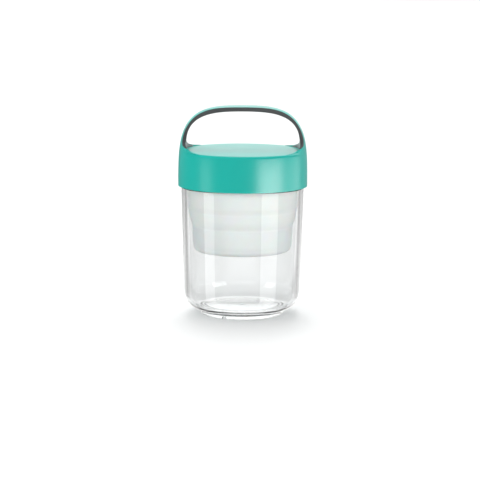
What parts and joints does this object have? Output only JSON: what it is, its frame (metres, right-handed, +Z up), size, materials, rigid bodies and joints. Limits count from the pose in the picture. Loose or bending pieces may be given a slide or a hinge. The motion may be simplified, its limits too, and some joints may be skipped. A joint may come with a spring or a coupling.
{
  "type": "to-go jar",
  "caption": "Clear round jar with a hanging insert cup and a screw lid whose lined strap handle arches over the top.",
  "frame": {"origin": "centre of the jar's foot ring, on the surface that it stands on", "axes": "+Z up along the jar's axis, +X along the handle's arch, -Y toward the front"},
  "size_m": [0.096, 0.096, 0.1548],
  "materials": {
    "clear_plastic": "clear, polished",
    "milky_plastic": "translucent, fine satin",
    "silicone": "soft satin",
    "turquoise_plastic": "fine satin",
    "dark_elastomer": "matt"
  },
  "bodies": {
    "jar": {"jar_body": "clear_plastic"},
    "cup": {"insert_cup": "milky_plastic"},
    "seal": {"lid_seal": "silicone"},
    "lid": {"lid_shell": "turquoise_plastic", "handle_lining": "dark_elastomer"}
  },
  "joints": [
    {"name": "lid_rise", "type": "slide", "parent": "jar", "child": "seal", "axis": [0, 0, 1], "range_m": [0, 0.0841]},
    {"name": "lid_turn", "type": "hinge", "parent": "seal", "child": "lid", "pos_m": [0, 0, 0.0958], "axis": [0, 0, 1], "range_deg": [0, 1260]},
    {"name": "cup_lift", "type": "slide", "parent": "jar", "child": "cup", "axis": [0, 0, 1], "range_m": [0, 0.0703]}
  ],
  "couplings": [
    {"joint": "lid_rise", "follows": "lid_turn", "m_per_rad": 0.0038197},
    {"joint": "cup_lift", "follows": "lid_turn", "m_per_rad": 0.003192}
  ]
}
